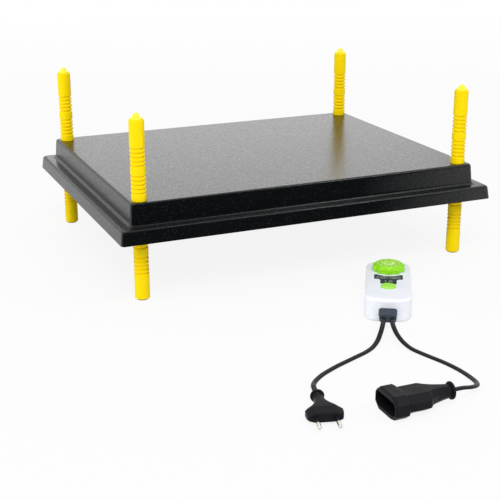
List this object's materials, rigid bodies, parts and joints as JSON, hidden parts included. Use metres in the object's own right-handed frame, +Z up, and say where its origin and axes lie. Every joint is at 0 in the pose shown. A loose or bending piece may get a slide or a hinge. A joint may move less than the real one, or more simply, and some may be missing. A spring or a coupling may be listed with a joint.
{
  "type": "chicken brooder heater plate",
  "caption": "Flat heated plate on ribbed legs that slide to set its height over chicks, with a loose hand controller that has a dial, a push button, a plug lead and a socket lead.",
  "frame": {"origin": "centre of the plate's heated underside", "axes": "+Z up; +X along the plate's long side; -Y towards the side where the controller lies"},
  "size_m": [0.5, 0.7672, 0.2252],
  "materials": {
    "black_shell": "fine-grained formed black plastic with a soft sheen",
    "black_base": "smooth black plastic sheet",
    "black_nylon": "moulded black nylon",
    "steel": "zinc-plated steel",
    "aluminium_sheet": "rolled sheet",
    "amber_film": "clear amber film",
    "copper_track": "flat etched track",
    "copper_winding": "enamelled copper wire",
    "brass": "plain turned brass",
    "insulation_fleece": "pressed pale fleece",
    "white_nylon": "moulded white nylon",
    "red_wire": "soft smooth wire cover",
    "yellow_leg": "glossy moulded yellow plastic",
    "yellow_cap": "glossy lighter yellow plastic",
    "black_pad": "matt soft pad",
    "white_shell": "smooth cool white plastic",
    "dark_panel": "smooth dark blue-grey film",
    "green_board": "lacquered board",
    "green_dial": "bright yellow-green plastic",
    "light_green_face": "lighter printed green disc",
    "green_button": "bright green plastic",
    "red_film_case": "dipped red case",
    "glass_fuse": "clear glass with metal ends",
    "grey_boot": "dull blue-grey rubber",
    "black_lead": "smooth black cord cover",
    "black_plug": "satin moulded black plastic",
    "pin_metal": "nickel-plated metal"
  },
  "bodies": {
    "plate": {"top_shell": "black_shell", "bottom_plate": "black_base", "fixing_posts": "black_shell", "base_screws": "steel", "heat_spreader": "aluminium_sheet", "heating_film": "amber_film", "heating_track": "copper_track", "film_terminals": "brass", "insulation_mat": "insulation_fleece", "thermal_cutout": "steel", "terminal_block": "white_nylon", "terminal_screws": "brass", "plate_wires": "red_wire", "inlet_gland": "black_nylon", "gland_cap": "black_nylon", "gland_nut": "black_nylon", "controller_back": "white_shell", "controller_front": "white_shell", "controller_screws": "steel", "control_panel": "dark_panel", "control_board": "green_board", "dial_potentiometer": "steel", "power_switch": "black_nylon", "dimmer_triac": "black_nylon", "dimmer_capacitor": "red_film_case", "dimmer_fuse": "glass_fuse", "dimmer_choke": "copper_winding", "board_wires": "red_wire", "cord_boot": "grey_boot", "mains_lead": "black_lead", "outlet_lead": "black_lead", "mains_plug": "black_plug", "plug_pins": "pin_metal", "pin_sleeves": "black_plug", "coupler": "black_plug", "coupler_contacts": "brass", "leg_guide_front_left": "black_nylon", "leg_guide_front_right": "black_nylon", "leg_guide_back_left": "black_nylon", "leg_guide_back_right": "black_nylon"},
    "front_left_leg": {"leg_front_left": "yellow_leg", "leg_cap_front_left": "yellow_cap", "leg_pad_front_left": "black_pad"},
    "front_right_leg": {"leg_front_right": "yellow_leg", "leg_cap_front_right": "yellow_cap", "leg_pad_front_right": "black_pad"},
    "back_left_leg": {"leg_back_left": "yellow_leg", "leg_cap_back_left": "yellow_cap", "leg_pad_back_left": "black_pad"},
    "back_right_leg": {"leg_back_right": "yellow_leg", "leg_cap_back_right": "yellow_cap", "leg_pad_back_right": "black_pad"},
    "dial": {"dial_spindle": "steel", "dial_knob": "green_dial", "dial_face": "light_green_face"},
    "button": {"power_button": "green_button"}
  },
  "joints": [
    {"name": "front_left_slide", "type": "slide", "parent": "plate", "child": "front_left_leg", "axis": [0, 0, 1], "range_m": [-0.065, 0.055]},
    {"name": "front_right_slide", "type": "slide", "parent": "plate", "child": "front_right_leg", "axis": [0, 0, 1], "range_m": [-0.065, 0.055]},
    {"name": "back_left_slide", "type": "slide", "parent": "plate", "child": "back_left_leg", "axis": [0, 0, 1], "range_m": [-0.065, 0.055]},
    {"name": "back_right_slide", "type": "slide", "parent": "plate", "child": "back_right_leg", "axis": [0, 0, 1], "range_m": [-0.065, 0.055]},
    {"name": "dial_turn", "type": "hinge", "parent": "plate", "child": "dial", "pos_m": [0.06255, -0.2646, -0.0514], "axis": [0, 0, -1], "range_deg": [0, 270]},
    {"name": "button_press", "type": "slide", "parent": "plate", "child": "button", "axis": [0, 0, -1], "range_m": [0, 0.0015], "stiffness_N_per_m": 800}
  ]
}
